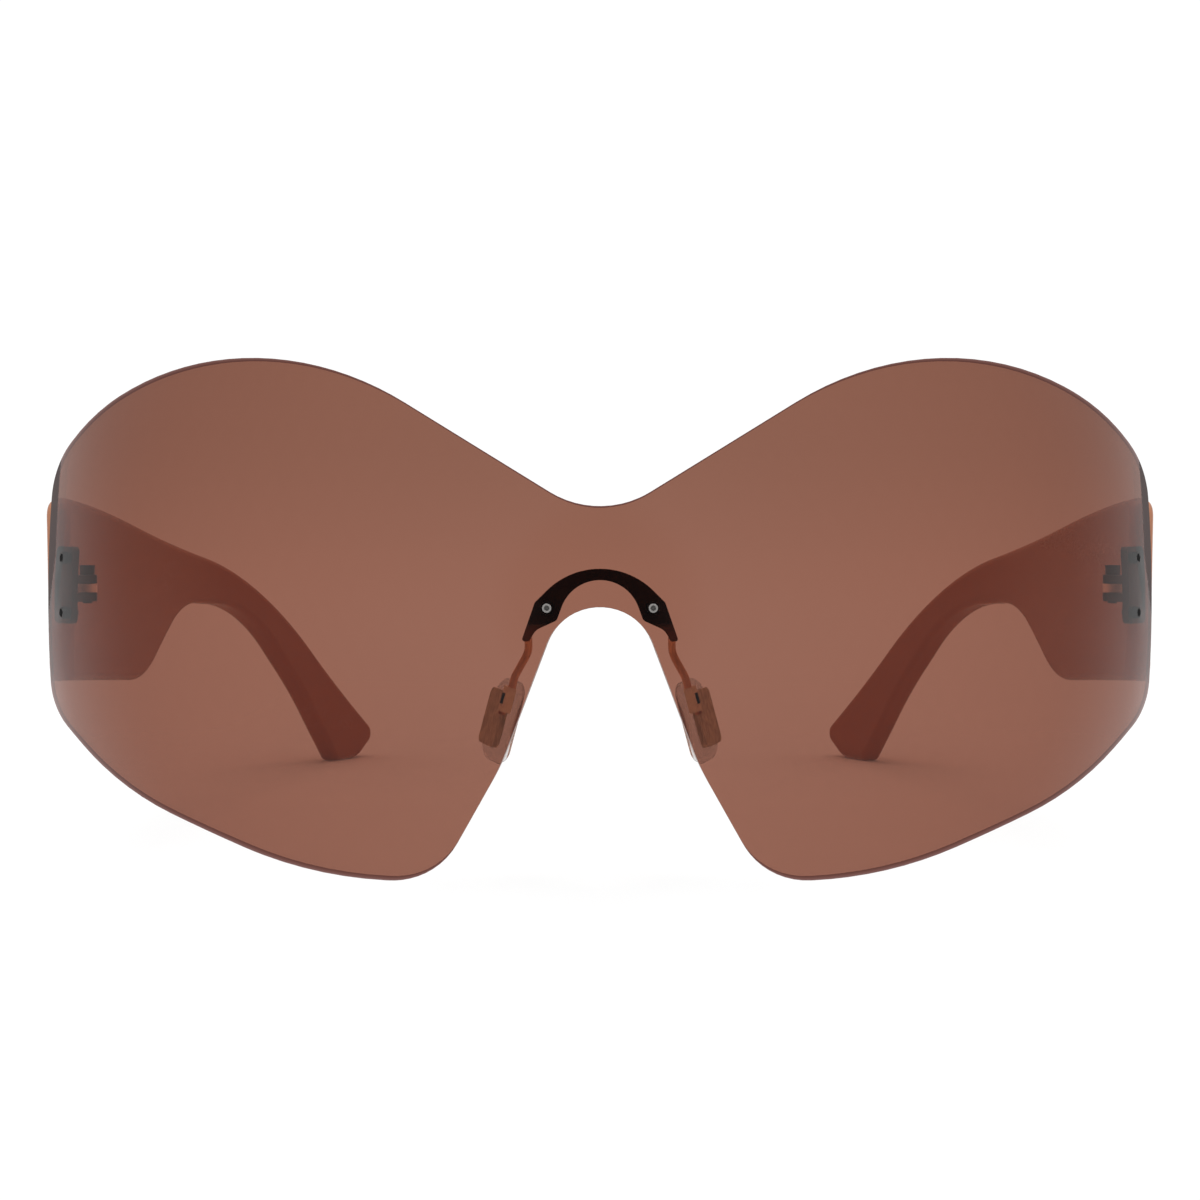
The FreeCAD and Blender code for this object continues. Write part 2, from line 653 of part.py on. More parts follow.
def bent_edge(x, radius, start, end):
    """Plan line that runs straight back past the hinge and then bends towards the other temple."""
    def at(y):
        return Vector(x - radius + math.sqrt(radius ** 2 - (y - TEMPLE_STRAIGHT) ** 2), y, 0)
    straight = Part.makeLine(Vector(x, start, 0), at(TEMPLE_STRAIGHT))
    return [straight, Part.Arc(at(TEMPLE_STRAIGHT), at((TEMPLE_STRAIGHT + end) / 2), at(end)).toShape()]


def temple_plan():
    """Strip between the inner and outer faces seen from above, thinner towards the tip."""
    start = TEMPLE_TOP_BACK - TEMPLE_THICKNESS
    end = TIP_BACK + TEMPLE_THICKNESS
    inner = bent_edge(TEMPLE_CLEARANCE, TEMPLE_BEND_RADIUS, start, end)
    bent_length = TIP_BACK - TEMPLE_STRAIGHT
    bend = math.asin(bent_length / TEMPLE_BEND_RADIUS)
    drop = TEMPLE_BEND_RADIUS * (1 - math.cos(bend))
    outer_drop = TEMPLE_THICKNESS + drop - TEMPLE_TIP_THICKNESS / math.cos(bend)
    outer_radius = (bent_length ** 2 + outer_drop ** 2) / (2 * outer_drop)
    outer = bent_edge(TEMPLE_CLEARANCE + TEMPLE_THICKNESS, outer_radius, start, end)
    front = Part.makeLine(inner[0].Vertexes[0].Point, outer[0].Vertexes[0].Point)
    back = Part.makeLine(outer[1].Vertexes[-1].Point, inner[1].Vertexes[-1].Point)
    return Part.Face(Part.Wire(Part.__sortEdges__([front, back] + inner + outer)))


def temple():
    """Side outline bent to the plan strip, with softened edges and a pocket for the anchor."""
    side = temple_side().extrude(Vector(REACH, 0, 0))
    side.translate(Vector(-REACH / 2, 0, 0))
    strip = temple_plan().extrude(Vector(0, 0, REACH))
    strip.translate(Vector(0, 0, -REACH / 2))
    body = side.common(strip).removeSplitter()
    least = TEMPLE_EDGE_ROUND / 4
    rims = [edge for edge in body.Edges if edge.BoundBox.YLength + edge.BoundBox.ZLength > least]
    body = body.makeFillet(TEMPLE_EDGE_ROUND, rims)
    centre = hinge_axis()
    body.translate(Vector(centre.x, centre.y, 0))
    return body.cut(anchor(FIT_GAP))


def build():
    """All nodes by name, with the lens apex at y = 0."""
    pad = pad_placement()
    hinge_seats = hinge_rivet_seats()
    hinge_pins = [placed(rivet(HINGE_PLATE_THICKNESS, False), seat) for seat in hinge_seats]
    bridge_pins = [placed(rivet(BRIDGE_THICKNESS, True), seat) for seat in bridge_rivet_seats()]
    nodes = {
        "shield_lens": shield_lens(),
        "lens_bushes": lens_bushes(),
        "bridge_plate": bridge_plate(),
        "bridge_rivets": Part.makeCompound(bridge_pins),
    }
    sided = {
        "nose_pad": placed(nose_pad(), pad),
        "pad_core": placed(pad_core(), pad),
        "pad_box": placed(pad_box(), pad),
        "pad_screw": placed(pad_screw(), pad),
        "hinge_plate": hinge_plate(),
        "hinge_rivets": Part.makeCompound(hinge_pins),
        "hinge_screw": hinge_screw(),
        "temple_hinge": temple_hinge(),
        "temple": temple(),
    }
    for name, shape in sided.items():
        nodes["left_" + name] = shape
        nodes["right_" + name] = mirrored(shape)
    return nodes


def main():
    nodes = build()
    depth = Part.makeCompound(list(nodes.values())).BoundBox
    shift = Vector(0, -(depth.YMin + depth.YMax) / 2, 0)
    os.makedirs("parts", exist_ok=True)
    for name, shape in nodes.items():
        shape.translate(shift)
        shape.exportStep(os.path.join("parts", name + ".step"))
        state = "valid" if shape.isValid() else "broken"
        print(name, len(shape.Solids), "solids", round(shape.Volume, 3), "mm3", state)
    axis = hinge_axis() + shift
    pivot = pad_placement().multVec(Vector(PIVOT_STAND_OFF, pivot_y(), PIVOT_LIFT)) + shift
    turn = pad_placement().Rotation.multVec(UP)
    print("left hinge axis through", axis)
    print("left pad pivot through", pivot, "along", turn)
    print("depth", depth.YLength)


if __name__ == "__main__":
    main()
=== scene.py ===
"""Looks of a pair of rimless shield sunglasses, dressed on the frame of their solids."""

import json
import logging
import math
from abc import ABC, abstractmethod
from dataclasses import dataclass, replace
from enum import Enum
from functools import cache
from typing import Any, Callable, Mapping, Optional, Union

import bpy
from mathutils import Euler, Matrix, Vector


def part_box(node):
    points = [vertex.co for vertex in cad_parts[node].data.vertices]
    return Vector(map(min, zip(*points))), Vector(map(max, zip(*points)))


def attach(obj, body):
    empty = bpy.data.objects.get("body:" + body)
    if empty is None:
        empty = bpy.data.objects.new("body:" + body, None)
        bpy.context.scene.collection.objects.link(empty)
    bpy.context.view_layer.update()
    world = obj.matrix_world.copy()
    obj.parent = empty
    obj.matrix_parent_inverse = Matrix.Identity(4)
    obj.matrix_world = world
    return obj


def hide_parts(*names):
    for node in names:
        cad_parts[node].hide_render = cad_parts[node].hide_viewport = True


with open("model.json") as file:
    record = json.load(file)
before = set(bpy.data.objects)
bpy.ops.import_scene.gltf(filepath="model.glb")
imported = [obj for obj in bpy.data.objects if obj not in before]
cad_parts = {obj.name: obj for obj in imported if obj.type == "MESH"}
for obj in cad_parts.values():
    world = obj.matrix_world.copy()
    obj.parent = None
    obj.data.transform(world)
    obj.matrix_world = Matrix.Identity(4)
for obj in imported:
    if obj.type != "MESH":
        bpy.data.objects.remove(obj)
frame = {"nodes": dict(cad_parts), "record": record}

Colour = tuple[float, float, float]
Place = tuple[float, float, float]
Span = tuple[float, float]

WHITE = (1.0, 1.0, 1.0)
APEX_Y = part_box("shield_lens")[0].y
LENS_RADIUS = 0.087
LENS_CENTRE = (0.0, APEX_Y + LENS_RADIUS, 0.0326)
MOUNTS = {mount["name"]: tuple(mount["pos_m"]) for mount in frame["record"]["mounts"]}
log = logging.getLogger("sunglasses")


class Side(Enum):
    """The wearer's side that a piece sits on."""

    LEFT = 1
    RIGHT = -1

    def node(self, name: str) -> str:
        """Name of this side's node of a paired piece."""
        return f"{self.name.lower()}_{name}"


class Value:
    """A shader socket that takes part in arithmetic."""

    def __init__(self, shader: "Shader", socket: bpy.types.NodeSocket) -> None:
        """Keeps the socket and the shader that it belongs to."""
        self.shader = shader
        self.socket = socket

    def __add__(self, other: "Number") -> "Value":
        """Sum of two values."""
        return self.shader.maths("ADD", self, other)

    def __radd__(self, other: "Number") -> "Value":
        """Sum, with the number first."""
        return self.shader.maths("ADD", other, self)

    def __sub__(self, other: "Number") -> "Value":
        """Difference of two values."""
        return self.shader.maths("SUBTRACT", self, other)

    def __rsub__(self, other: "Number") -> "Value":
        """Difference, with the number first."""
        return self.shader.maths("SUBTRACT", other, self)

    def __mul__(self, other: "Number") -> "Value":
        """Product of two values."""
        return self.shader.maths("MULTIPLY", self, other)

    def __rmul__(self, other: "Number") -> "Value":
        """Product, with the number first."""
        return self.shader.maths("MULTIPLY", other, self)

    def __abs__(self) -> "Value":
        """Size of the value, without its sign."""
        return self.shader.maths("ABSOLUTE", self, 0.0)


Number = Union[float, Value]


def shaded(colour: Colour, amount: float) -> Colour:
    """A colour times an amount."""
    return tuple(channel * amount for channel in colour)


class Shader:
    """The node tree of a material or a world."""

    def __init__(self, tree: bpy.types.NodeTree) -> None:
        """Starts from an empty tree."""
        self.tree = tree
        tree.nodes.clear()

    def node(self, kind: str, settings: Optional[Mapping[str, Any]] = None,
             inputs: Optional[Mapping[str, Any]] = None, output: str = "") -> Value:
        """Adds a node.

        Args:
            kind: Blender's name of the node's type.
            settings: the node's own choices, set first.
            inputs: values or links for its sockets, by identifier or name.
            output: the output to return, or the first one.

        Returns:
            The chosen output, or the first input of a node that ends the tree.
        """
        made = self.tree.nodes.new(kind)
        for name, value in (settings or {}).items():
            setattr(made, name, value)
        for name, value in (inputs or {}).items():
            socket = self._find(made.inputs, name)
            if isinstance(value, Value):
                self.tree.links.new(value.socket, socket)
            else:
                socket.default_value = value
        if not made.outputs:
            return Value(self, made.inputs[0])
        return Value(self, self._find(made.outputs, output) if output else made.outputs[0])

    @staticmethod
    def _find(sockets: Any, name: str) -> bpy.types.NodeSocket:
        """Socket with this identifier or, failing that, this name."""
        return next((s for s in sockets if s.identifier == name), None) or sockets[name]

    def maths(self, operation: str, first: Number, second: Number) -> Value:
        """Adds a Math node for two values."""
        return self.node("ShaderNodeMath", {"operation": operation}, {"Value": first, "Value_001": second})

    def vectors(self, operation: str, first: Value, second: Any, output: str = "Vector") -> Value:
        """Adds a Vector Math node for two vectors or colours."""
        inputs = {"Vector": first, "Vector_001": second}
        return self.node("ShaderNodeVectorMath", {"operation": operation}, inputs, output)

    def mix(self, factor: Number, first: Any, second: Any) -> Value:
        """Mixes two colours by a factor."""
        inputs = {"Factor_Float": factor}
        for name, colour in (("A_Color", first), ("B_Color", second)):
            inputs[name] = colour if isinstance(colour, Value) else (*colour, 1.0)
        return self.node("ShaderNodeMix", {"data_type": "RGBA"}, inputs, "Result_Color")

    def tone(self, factor: Number, colour: Colour, shades: Span) -> Value:
        """A colour between two shades of it, by a factor."""
        return self.mix(factor, shaded(colour, shades[0]), shaded(colour, shades[1]))

    def blend(self, factor: Value, first: Value, second: Value) -> Value:
        """Mixes two surfaces by a factor."""
        return self.node("ShaderNodeMixShader", None, {"Fac": factor, "Shader": first, "Shader_001": second})

    def place(self) -> Value:
        """Place on the object, in metres."""
        return self.node("ShaderNodeTexCoord", output="Object")

    def axis(self, vector: Value, name: str) -> Value:
        """One part of a vector."""
        return self.node("ShaderNodeSeparateXYZ", None, {"Vector": vector}, name)

    def stretched(self, vector: Value, scale: Any) -> Value:
        """Vector or colour scaled part by part."""
        return self.vectors("MULTIPLY", vector, scale)

    def distance(self, first: Value, second: Any) -> Value:
        """How far apart two places are."""
        return self.vectors("DISTANCE", first, second, "Value")

    def noise(self, vector: Value, size: float, detail: float = 2.0) -> Value:
        """Soft noise from 0 to 1 with features of this size in metres."""
        inputs = {"Vector": vector, "Scale": 1.0 / size, "Detail": detail}
        return self.node("ShaderNodeTexNoise", None, inputs, "Fac")

    def span(self, value: Number, low: float, high: float) -> Value:
        """Stretches a value from 0 and 1 to these limits."""
        return value * (high - low) + low

    def weighed(self, first: Value, second: Value, share: float) -> Value:
        """Mean of two values, with this share of the second."""
        return first * (1 - share) + second * share

    def ease(self, value: Value, low: float, high: float) -> Value:
        """Runs smoothly from 0 to 1 between two values."""
        inputs = {"Value": value, "From Min": low, "From Max": high}
        return self.node("ShaderNodeMapRange", {"interpolation_type": "SMOOTHSTEP"}, inputs, "Result")

    def principled(self, inputs: Mapping[str, Any]) -> Value:
        """Principled surface with these inputs."""
        return self.node("ShaderNodeBsdfPrincipled", None, inputs)

    def light_path(self, name: str) -> Value:
        """One output of the Light Path node."""
        return self.node("ShaderNodeLightPath", output=name)

    def bounced(self, depth: str) -> Value:
        """1 after one or more bounces of a kind."""
        return self.maths("GREATER_THAN", self.light_path(depth), 0.5)

    def sight(self) -> tuple[Value, Value]:
        """Tells apart the ways in which a surface is looked at.

        Returns:
            1 for what is seen straight or through clear pieces, and 1 for what is seen in a mirror.
        """
        through = self.light_path("Is Transmission Ray")
        straight = through * (1 - self.bounced("Glossy Depth"))
        seen = self.maths("MAXIMUM", self.light_path("Is Camera Ray"), straight)
        shiny = self.maths("MAXIMUM", self.light_path("Is Glossy Ray"), through)
        return seen, shiny * (1 - seen)


@dataclass(frozen=True)
class Relief:
    """Fine pattern in a surface: its size and depth in metres, how much of it shows, and its detail."""

    size: float
    depth: float
    strength: float
    detail: float = 3.0

    def pattern(self, shader: Shader, place: Value) -> Value:
        """Height of the pattern at a place, from 0 to 1."""
        return shader.noise(place, self.size, self.detail)

    def normal(self, shader: Shader, pattern: Value) -> Value:
        """Normal of a surface with this pattern."""
        inputs = {"Height": pattern, "Distance": self.depth, "Strength": self.strength}
        return shader.node("ShaderNodeBump", None, inputs)


@dataclass(frozen=True)
class Finish(ABC):
    """What a surface is made of; the colour is linear."""

    name: str
    colour: Colour

    @cache
    def material(self) -> bpy.types.Material:
        """The finish's material, made once.

        Returns:
            The material.
        """
        made = bpy.data.materials.new(self.name)
        made.use_nodes = True
        shader = Shader(made.node_tree)
        ends = {"Surface": self.surface(shader)}
        inside = self.inside(shader)
        if inside:
            ends["Volume"] = inside
        shader.node("ShaderNodeOutputMaterial", None, ends)
        return made

    def inside(self, shader: Shader) -> Optional[Value]:
        """Shader of what fills the piece, or nothing."""
        return None

    @abstractmethod
    def surface(self, shader: Shader) -> Value:
        """Builds the nodes.

        Args:
            shader: the material's tree.

        Returns:
            The surface's shader socket.
        """


@dataclass(frozen=True)
class TintedSheet(Finish):
    """Domed polycarbonate sheet, dyed partly in its skin and partly right through, with a milled rim.

    One thickness of it lets the colour through.
    """

    index: float = 1.585
    thickness: float = 0.002
    skin: float = 0.4
    density: float = 1000.0
    brow: Colour = (0.88, 0.89, 0.88)
    brow_rise: Span = (0.034, 0.056)
    cloud: float = 0.022
    cloud_shades: Span = (0.985, 1.015)
    ripple: Relief = Relief(0.009, 2e-6, 0.3, detail=0.0)
    # painted shade: from edge on, these place a dark matt band near each side of the sheet
    edge: float = 0.0736
    edge_blur: float = 0.0003
    edge_foot: float = 0.04
    edge_slope: float = 0.168
    painted_shade_colour: Colour = (0.105, 0.08, 0.078)
    edge_roughness: float = 0.6
    edge_shine: float = 0.1
    rim_lean: float = 0.7
    rim_colour: Colour = (0.31, 0.2, 0.165)
    rim_shades: Span = (0.85, 1.15)
    rim_roughness: Span = (0.4, 0.6)
    rim_line: Colour = (0.08, 0.03, 0.03)
    mill_marks: Relief = Relief(0.0005, 6e-6, 0.4)

    def skin_colour(self, share: Colour, amount: float) -> Colour:
        """What both skins let through together, times a share of each channel and an amount."""
        return tuple(channel ** self.skin * part * amount for channel, part in zip(self.colour, share))

    def dye(self, shader: Shader, place: Value, amount: float) -> Value:
        """Skin colour at a place, a little deeper towards the brow."""
        height = shader.ease(shader.axis(place, "Z"), *self.brow_rise)
        return shader.mix(height, self.skin_colour(WHITE, amount), self.skin_colour(self.brow, amount))

    def surface(self, shader: Shader) -> Value:
        """Clear sheet, a dull dark band painted near each side as painted shade, and the rim."""
        place = shader.place()
        sheet = shader.blend(self.painted_shade_band(shader, place), self.clear(shader, place), self.dull(shader))
        return shader.blend(self.on_rim(shader, place), sheet, self.rim(shader, place))

    def clear(self, shader: Shader, place: Value) -> Value:
        """Polished sheet with slight clouds in its dye and the ripple of a moulding."""
        light, deep = (self.dye(shader, place, amount) for amount in self.cloud_shades)
        return shader.principled({
            "Base Color": shader.mix(shader.noise(place, self.cloud), light, deep),
            "Roughness": 0.0, "IOR": self.index, "Transmission Weight": 1.0,
            "Normal": self.ripple.normal(shader, self.ripple.pattern(shader, place)),
        })

    def dull(self, shader: Shader) -> Value:
        """Matt dark face of the band near each side: painted shade, not a cut face."""
        return shader.principled({
            "Base Color": (*self.painted_shade_colour, 1.0), "Roughness": self.edge_roughness,
            "Specular IOR Level": self.edge_shine,
        })

    def painted_shade_band(self, shader: Shader, place: Value) -> Value:
        """1 beyond a line near each side that leans inwards below its foot, where the painted shade band
        lies.
        """
        below = shader.maths("MAXIMUM", self.edge_foot - shader.axis(place, "Z"), 0.0)
        across = abs(shader.axis(place, "X"))
        return shader.ease(across - below * self.edge_slope, self.edge, self.edge + self.edge_blur)

    def on_rim(self, shader: Shader, place: Value) -> Value:
        """1 on the faces that stand square to the sheet."""
        normal = shader.node("ShaderNodeTexCoord", output="Normal")
        outwards = shader.vectors("SUBTRACT", place, LENS_CENTRE)
        lean = shader.vectors("DOT_PRODUCT", outwards, normal, "Value")
        return shader.maths("LESS_THAN", abs(lean), self.rim_lean * LENS_RADIUS)

    def rim(self, shader: Shader, place: Value) -> Value:
        """Fine mill marks on a dull face that lets little light out of the sheet."""
        marks = self.mill_marks.pattern(shader, place)
        outer = shader.principled({
            "Base Color": shader.tone(marks, self.rim_colour, self.rim_shades),
            "Roughness": shader.span(marks, *self.rim_roughness),
            "Normal": self.mill_marks.normal(shader, marks),
        })
        inner = shader.principled({
            "Base Color": (*self.rim_line, 1.0), "Roughness": 0.0, "IOR": 1.0, "Transmission Weight": 1.0,
        })
        return shader.blend(shader.node("ShaderNodeNewGeometry", output="Backfacing"), outer, inner)

    def inside(self, shader: Shader) -> Optional[Value]:
        """Dye that takes up light over each thickness of the way through."""
        share = (1 - self.skin) / (self.thickness * self.density)
        colour = tuple(1 + math.log(channel) * share for channel in self.colour)
        inputs = {"Color": (*colour, 1.0), "Density": self.density}
        return shader.node("ShaderNodeVolumeAbsorption", None, inputs)


@dataclass(frozen=True)
class MouldedPlastic(Finish):
    """Satin injection-moulded plastic with a fine spark-eroded grain, its colour darker to the rear as
    painted shade.
    """

    # painted shade: rear darkens the colour towards the back of the arm
    rear: Colour = (0.83, 0.59, 0.38)
    painted_shade_rise: Span = (0.0, 0.045)
    roughness: Span = (0.2, 0.32)
    shine: float = 0.35
    grain: Relief = Relief(0.00028, 1.2e-5, 0.35)
    grain_share: float = 0.4
    speck: float = 0.00098
    speck_share: float = 0.3
    streak: float = 0.012
    streak_stretch: Place = (1.0, 0.3, 1.0)
    shades: Span = (0.94, 1.05)

    def surface(self, shader: Shader) -> Value:
        """Flow streaks along the moulding, slow changes of sheen and the grain of the mould."""
        place = shader.place()
        flow = shader.noise(shader.stretched(place, self.streak_stretch), self.streak, detail=3.0)
        grain = self.grain.pattern(shader, place)
        speck = shader.noise(place, self.speck, detail=1.0)
        colour = shader.tone(shader.weighed(flow, speck, self.speck_share), self.colour, self.shades)
        # painted shade: the colour grows darker towards the rear of the arm
        depth = shader.ease(shader.axis(place, "Y"), *self.painted_shade_rise)
        return shader.principled({
            "Base Color": shader.stretched(colour, shader.mix(depth, WHITE, self.rear)),
            "Roughness": shader.span(shader.weighed(flow, grain, self.grain_share), *self.roughness),
            "Specular IOR Level": self.shine, "Normal": self.grain.normal(shader, grain),
        })


@dataclass(frozen=True)
class PlatedMetal(Finish):
    """Metal with a polished plating over fine polishing lines, satin below a height where one is given."""

    roughness: float = 0.16
    wear: Span = (0.6, 1.5)
    metallic: float = 1.0
    lines: Relief = Relief(0.0009, 4e-6, 0.25, detail=4.0)
    line_stretch: Place = (1.0, 1.0, 6.0)
    film: float = 0.0035
    film_share: float = 0.5
    film_shades: Span = (0.9, 1.02)
    streaks: float = 0.0
    streak_rise: Span = (0.35, 0.65)
    satin_below: float = 0.0
    satin_blur: float = 0.0015
    satin: float = 0.8

    def surface(self, shader: Shader) -> Value:
        """Polishing lines, and a slightly duller, darker film in patches."""
        place = shader.place()
        lines = self.lines.pattern(shader, shader.stretched(place, self.line_stretch))
        film = shader.noise(place, self.film)
        colour = shader.tone(film, self.colour, self.film_shades)
        if self.streaks:
            dark = shaded(self.colour, 1 - self.streaks)
            colour = shader.mix(shader.ease(lines, *self.streak_rise), dark, colour)
        smooth, worn = (self.roughness * share for share in self.wear)
        dull = shader.span(shader.weighed(lines, film, self.film_share), smooth, worn)
        if self.satin_below:
            below = self.satin_below - shader.axis(place, "Z")
            dull = dull + shader.ease(below, 0.0, self.satin_blur) * self.satin
        return shader.principled({
            "Base Color": colour, "Metallic": self.metallic, "Roughness": dull,
            "Normal": self.lines.normal(shader, lines),
        })


@dataclass(frozen=True)
class BlackedMetal(Finish):
    """Metal under a thin satin black coat."""

    roughness: Span = (0.52, 0.7)
    shine: float = 0.05
    shades: Span = (0.8, 1.3)
    coat: Relief = Relief(0.0004, 3e-6, 0.3)

    def surface(self, shader: Shader) -> Value:
        """Fine coat texture with small changes of gloss."""
        coat = self.coat.pattern(shader, shader.place())
        return shader.principled({
            "Base Color": shader.tone(coat, self.colour, self.shades),
            "Roughness": shader.span(coat, *self.roughness),
            "Specular IOR Level": self.shine, "Normal": self.coat.normal(shader, coat),
        })


@dataclass(frozen=True)
class ClearSilicone(Finish):
    """Cloudy clear silicone rubber."""

    clear: float = 0.95
    index: float = 1.05
    roughness: Span = (0.08, 0.24)
    milk: float = 0.002
    milk_share: float = 0.4
    milk_shades: Span = (0.95, 1.0)
    tooth: Relief = Relief(0.00035, 8e-6, 0.3, detail=2.0)

    def surface(self, shader: Shader) -> Value:
        """Milky patches, and the soft tooth of the mould on its skin."""
        place = shader.place()
        milk = shader.noise(place, self.milk)
        tooth = self.tooth.pattern(shader, place)
        return shader.principled({
            "Base Color": shader.tone(milk, self.colour, self.milk_shades),
            "Roughness": shader.span(shader.weighed(tooth, milk, self.milk_share), *self.roughness),
            "IOR": self.index, "Transmission Weight": self.clear, "Normal": self.tooth.normal(shader, tooth),
        })


@dataclass(frozen=True)
class StudioFloor(Finish):
    """Pale table top that shows white to the eye and still takes a shadow; the sizes are in metres."""

    roughness: float = 0.9
    shine: float = 0.1
    cloud: float = 0.05
    cloud_shades: Span = (0.99, 1.0)
    white: float = 1.06
    glow: float = 0.5
    far: Span = (0.1, 0.3)
    beside: Span = (0.055, 0.08)
    tip: Place = MOUNTS["left_tip_rest"]
    tip_glow: float = 0.1
    tip_reach: float = 0.07

    def glowing(self, shader: Shader, place: Value) -> Value:
        """Share of glow at a place: all of it further out and beside the lens, and least round the tips."""
        across = abs(shader.axis(place, "X"))
        away = shader.ease(shader.distance(place, (0.0, 0.0, 0.0)), *self.far)
        away = shader.maths("MAXIMUM", away, shader.ease(across, *self.beside))
        half = shader.node("ShaderNodeCombineXYZ", None, {"X": across, "Y": shader.axis(place, "Y")})
        near_tip = 1 - shader.ease(shader.distance(half, self.tip), 0.0, self.tip_reach)
        return shader.span(away, self.glow, 1.0) - near_tip * (self.glow - self.tip_glow)

    def surface(self, shader: Shader) -> Value:
        """Matt white that glows for what is seen, and leaves mirrors to the surroundings."""
        place = shader.place()
        matt = shader.principled({
            "Base Color": shader.tone(shader.noise(place, self.cloud), self.colour, self.cloud_shades),
            "Roughness": self.roughness, "Specular IOR Level": self.shine,
        })
        white = shader.node("ShaderNodeEmission", None, {"Color": (*WHITE, 1.0), "Strength": self.white})
        seen, mirrored = shader.sight()
        shown = shader.blend(seen * self.glowing(shader, place), matt, white)
        return shader.blend(mirrored, shown, shader.node("ShaderNodeBsdfTransparent"))


LENS_BROWN = TintedSheet("lens_brown", (0.312, 0.132, 0.089))
BUSH_BROWN = replace(LENS_BROWN, name="bush_brown", rim_lean=0.0)
TERRACOTTA = MouldedPlastic("terracotta_plastic", (0.47, 0.208, 0.119))
ROSE_GOLD = PlatedMetal("rose_gold_plate", (0.93, 0.64, 0.42), satin_below=0.0325)
COPPER_GOLD = PlatedMetal("copper_gold_plate", (0.74, 0.37, 0.19), roughness=0.35, metallic=0.35)
PALE_GOLD = PlatedMetal("pale_gold_plate", (0.78, 0.6, 0.4), roughness=0.35, metallic=0.35)
SATIN_GOLD = PlatedMetal("satin_gold_plate", (0.98, 0.76, 0.6), roughness=0.4, metallic=0.05)
# partly painted shade: dark metal, darkened further to how dark the hinge plate looks in its shade
SHADE_DARK_METAL = PlatedMetal("shade_dark_metal", (0.03, 0.028, 0.028), roughness=0.3)
NICKEL = PlatedMetal("brushed_nickel", (0.62, 0.45, 0.29), roughness=0.4, metallic=0.05,
                     line_stretch=(4.0, 4.0, 0.25), streaks=0.45)
STEEL = PlatedMetal("bright_steel", (0.54, 0.52, 0.5), roughness=0.2, metallic=0.5)
# painted shade: darker steel for the recess in each bridge rivet's end
DIMPLE_SHADE_STEEL = PlatedMetal("dimple_shade_steel", (0.18, 0.172, 0.165), roughness=0.4, metallic=0.5)
# black coat on the hinge rivets, and painted shade on the pad pivots' barrels
BLACK_COAT_AND_SHADE = BlackedMetal("blacked_metal_and_slot_shade", (0.012, 0.011, 0.011))
SILICONE = ClearSilicone("cloudy_silicone", (0.74, 0.71, 0.7))
FLOOR = StudioFloor("studio_floor", (0.75, 0.75, 0.75))


def coat(node: str, finish: Finish) -> None:
    """Gives a node of the frame its finish and reports it.

    Args:
        node: name of the node.
        finish: what it is made of.
    """
    mesh = frame["nodes"][node].data
    mesh.materials.clear()
    mesh.materials.append(finish.material())
    log.info("%s: %s", node, finish.name)


def coat_faces(node: str, finish: Finish, where: Callable[[Vector], bool]) -> None:
    """Gives some faces of a coated node another finish.

    Args:
        node: name of the node.
        finish: what those faces are made of.
        where: tells by the middle of a face whether it is one of them.
    """
    mesh = frame["nodes"][node].data
    mesh.materials.append(finish.material())
    for face in mesh.polygons:
        face.material_index = int(where(face.center))


@dataclass
class ShieldFront:
    """The lens with the bridge and the hinge halves that are riveted to it, in metres."""

    dimple: Span = (0.00002, 0.0004)
    arm_depth: float = 0.0031

    def depth(self, place: Vector) -> float:
        """How far a place lies behind the lens's outer face."""
        return LENS_RADIUS - (place - Vector(LENS_CENTRE)).length

    def in_dimple(self, place: Vector) -> bool:
        """Whether a place on a bridge rivet lies in the dimple of its end."""
        return self.dimple[0] < self.depth(place) < self.dimple[1]

    def on_arm(self, place: Vector) -> bool:
        """Whether a place on the bridge belongs to a pad arm."""
        return self.depth(place) > self.arm_depth

    def lens(self) -> None:
        """Gives the lens its tint, and lets the soft light past it."""
        coat("shield_lens", LENS_BROWN)
        lens = frame["nodes"]["shield_lens"]
        lens.visible_shadow = False
        lens.visible_diffuse = False

    def dress(self) -> None:
        """Gives each piece of the front its finish."""
        self.lens()
        coat("bridge_rivets", STEEL)
        # painted shade: the dimple faces get the darker steel
        coat_faces("bridge_rivets", DIMPLE_SHADE_STEEL, self.in_dimple)
        coat("bridge_plate", ROSE_GOLD)
        coat_faces("bridge_plate", COPPER_GOLD, self.on_arm)
        coat("lens_bushes", BUSH_BROWN)
        for side in Side:
            coat(side.node("pad_box"), PALE_GOLD)
            coat(side.node("pad_screw"), ROSE_GOLD)
            # partly painted shade: the hinge plate and screw are dark metal, darkened to their shade
            coat(side.node("hinge_plate"), SHADE_DARK_METAL)
            coat(side.node("hinge_screw"), SHADE_DARK_METAL)
            coat(side.node("hinge_rivets"), BLACK_COAT_AND_SHADE)


@dataclass
class Temple:
    """One temple arm with the knuckle that is moulded into it."""

    side: Side

    def dress(self) -> None:
        """Gives the arm and its knuckle their finishes."""
        coat(self.side.node("temple"), TERRACOTTA)
        coat(self.side.node("temple_hinge"), SATIN_GOLD)


